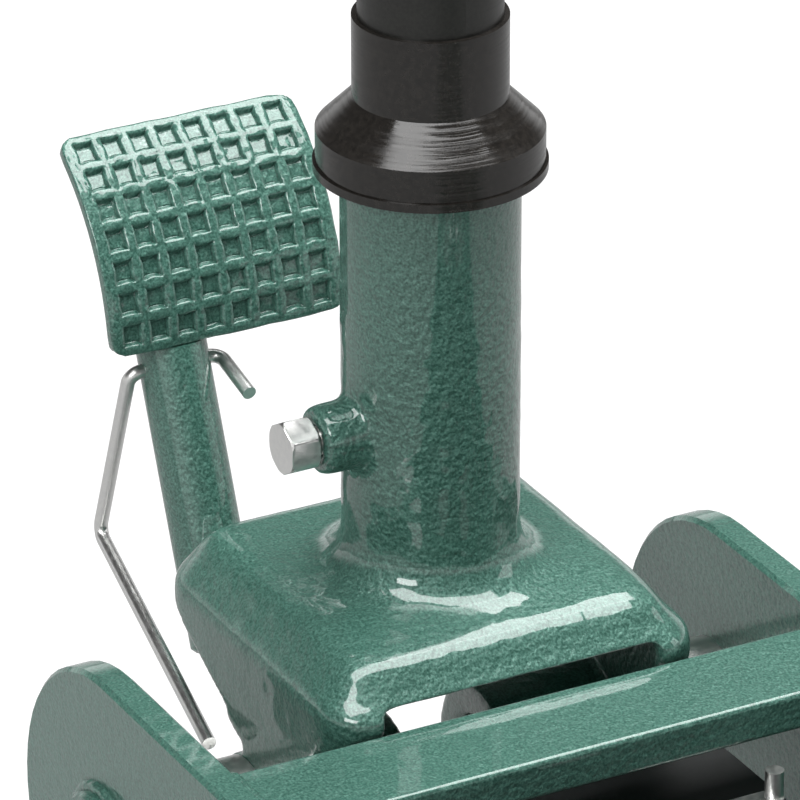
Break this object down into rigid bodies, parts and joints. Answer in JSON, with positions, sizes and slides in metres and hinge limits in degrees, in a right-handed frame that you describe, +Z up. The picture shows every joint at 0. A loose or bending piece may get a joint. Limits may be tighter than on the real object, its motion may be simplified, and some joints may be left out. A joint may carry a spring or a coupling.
{
  "type": "floor jack",
  "caption": "Long wheeled floor jack with a hood-shaped handle yoke, waffle foot pedal, hydraulic ram, lifting arm and round saddle.",
  "frame": {"origin": "on the floor under the middle of the jack's length and width", "axes": "+X towards the saddle and front wheels, +Y towards the jack's left, +Z up"},
  "size_m": [1.3332, 0.442, 1.1664],
  "materials": {
    "green_paint": "hammer-tone green enamel, semi-gloss",
    "black_paint": "black enamel, satin",
    "zinc_steel": "bright zinc plate",
    "hard_chrome": "hard chrome, polished",
    "black_rubber": "black rubber, satin",
    "black_handle": "black powder coat, satin",
    "saddle_black": "black cast iron",
    "wheel_black": "dark cast iron"
  },
  "bodies": {
    "chassis": {"side_plate_right": "green_paint", "side_plate_left": "green_paint", "rear_cross_bar": "green_paint", "unit_base_plate": "green_paint", "front_tie_plate": "green_paint", "cylinder_cradle": "green_paint", "yoke_shaft": "zinc_steel", "yoke_shaft_spacers": "zinc_steel", "arm_shaft": "zinc_steel", "arm_shaft_spacers": "zinc_steel", "shaft_end_caps": "green_paint", "link_stub_pins": "zinc_steel", "front_axle": "zinc_steel", "axle_collars": "zinc_steel", "caster_bracket_right": "green_paint", "caster_bracket_left": "green_paint", "power_unit_block": "black_paint", "oil_filler_plug": "zinc_steel", "release_valve": "zinc_steel", "lift_cylinder": "black_paint", "gland_nut": "black_paint", "frame_bolts": "zinc_steel"},
    "yoke": {"handle_yoke": "green_paint", "handle_socket": "green_paint", "clamp_screw": "zinc_steel", "pedal_arm": "green_paint", "pedal_lug": "green_paint", "pedal_pad": "green_paint", "pump_roller": "zinc_steel", "pump_roller_pin": "zinc_steel"},
    "handle": {"handle_tube": "black_handle", "socket_collar": "black_rubber", "grip_bar": "black_handle", "grip_sleeves": "black_rubber"},
    "hook": {"lock_wire": "zinc_steel"},
    "plunger": {"pump_plunger": "hard_chrome"},
    "ram": {"ram_rod": "hard_chrome", "ram_pusher": "black_paint"},
    "arm": {"arm_plate_right": "green_paint", "arm_plate_left": "green_paint", "arm_web": "green_paint", "horn_roller": "zinc_steel", "arm_pins": "zinc_steel"},
    "links": {"levelling_link_right": "green_paint", "levelling_link_left": "green_paint"},
    "carrier": {"saddle_carrier": "green_paint", "carrier_level_pin": "zinc_steel"},
    "saddle": {"saddle": "saddle_black"},
    "wheel_right": {"front_wheel_right": "wheel_black"},
    "wheel_left": {"front_wheel_left": "wheel_black"},
    "caster_right": {"caster_fork_right": "zinc_steel", "caster_axle_right": "zinc_steel"},
    "caster_left": {"caster_fork_left": "zinc_steel", "caster_axle_left": "zinc_steel"},
    "caster_wheel_right": {"caster_wheel_right": "wheel_black"},
    "caster_wheel_left": {"caster_wheel_left": "wheel_black"}
  },
  "joints": [
    {"name": "handle_swing", "type": "hinge", "parent": "chassis", "child": "yoke", "pos_m": [-0.52336, 0, 0.095], "axis": [0, -1, 0], "range_deg": [0, 55]},
    {"name": "handle_twist", "type": "hinge", "parent": "yoke", "child": "handle", "pos_m": [-0.52336, 0, 0.25], "axis": [0, 0, 1], "range_deg": [0, 90]},
    {"name": "hook_swing", "type": "hinge", "parent": "yoke", "child": "hook", "pos_m": [-0.6319, -0.042, 0.211], "axis": [0, -1, 0], "range_deg": [0, 6]},
    {"name": "pump_stroke", "type": "slide", "parent": "chassis", "child": "plunger", "axis": [1, 0, 0], "range_m": [0, 0.0255]},
    {"name": "arm_lift", "type": "hinge", "parent": "chassis", "child": "arm", "pos_m": [0.07663, 0, 0.128], "axis": [0, -1, 0], "range_deg": [0, 48]},
    {"name": "ram_stroke", "type": "slide", "parent": "chassis", "child": "ram", "axis": [1, 0, 0], "range_m": [0, 0.0635]},
    {"name": "link_swing", "type": "hinge", "parent": "chassis", "child": "links", "pos_m": [0.09463, 0, 0.088], "axis": [0, -1, 0], "range_deg": [0, 48]},
    {"name": "carrier_level", "type": "hinge", "parent": "arm", "child": "carrier", "pos_m": [0.55159, 0, 0.11], "axis": [0, -1, 0], "range_deg": [-48, 0]},
    {"name": "saddle_turn", "type": "hinge", "parent": "carrier", "child": "saddle", "pos_m": [0.55659, 0, 0.15], "axis": [0, 0, 1], "continuous": true},
    {"name": "wheel_right_spin", "type": "hinge", "parent": "chassis", "child": "wheel_right", "pos_m": [0.60664, -0.1475, 0.06], "axis": [0, 1, 0], "continuous": true},
    {"name": "wheel_left_spin", "type": "hinge", "parent": "chassis", "child": "wheel_left", "pos_m": [0.60664, 0.1475, 0.06], "axis": [0, 1, 0], "continuous": true},
    {"name": "caster_right_swivel", "type": "hinge", "parent": "chassis", "child": "caster_right", "pos_m": [-0.39337, -0.191, 0.1], "axis": [0, 0, 1], "continuous": true},
    {"name": "caster_right_spin", "type": "hinge", "parent": "caster_right", "child": "caster_wheel_right", "pos_m": [-0.41836, -0.191, 0.0375], "axis": [0, 1, 0], "continuous": true},
    {"name": "caster_left_swivel", "type": "hinge", "parent": "chassis", "child": "caster_left", "pos_m": [-0.39337, 0.191, 0.1], "axis": [0, 0, 1], "continuous": true},
    {"name": "caster_left_spin", "type": "hinge", "parent": "caster_left", "child": "caster_wheel_left", "pos_m": [-0.41836, 0.191, 0.0375], "axis": [0, 1, 0], "continuous": true}
  ],
  "couplings": [
    {"joint": "pump_stroke", "follows": "handle_swing", "m_per_rad": 0.026},
    {"joint": "ram_stroke", "follows": "arm_lift", "m_per_rad": 0.075},
    {"joint": "link_swing", "follows": "arm_lift", "ratio": 1},
    {"joint": "carrier_level", "follows": "arm_lift", "ratio": -1}
  ]
}
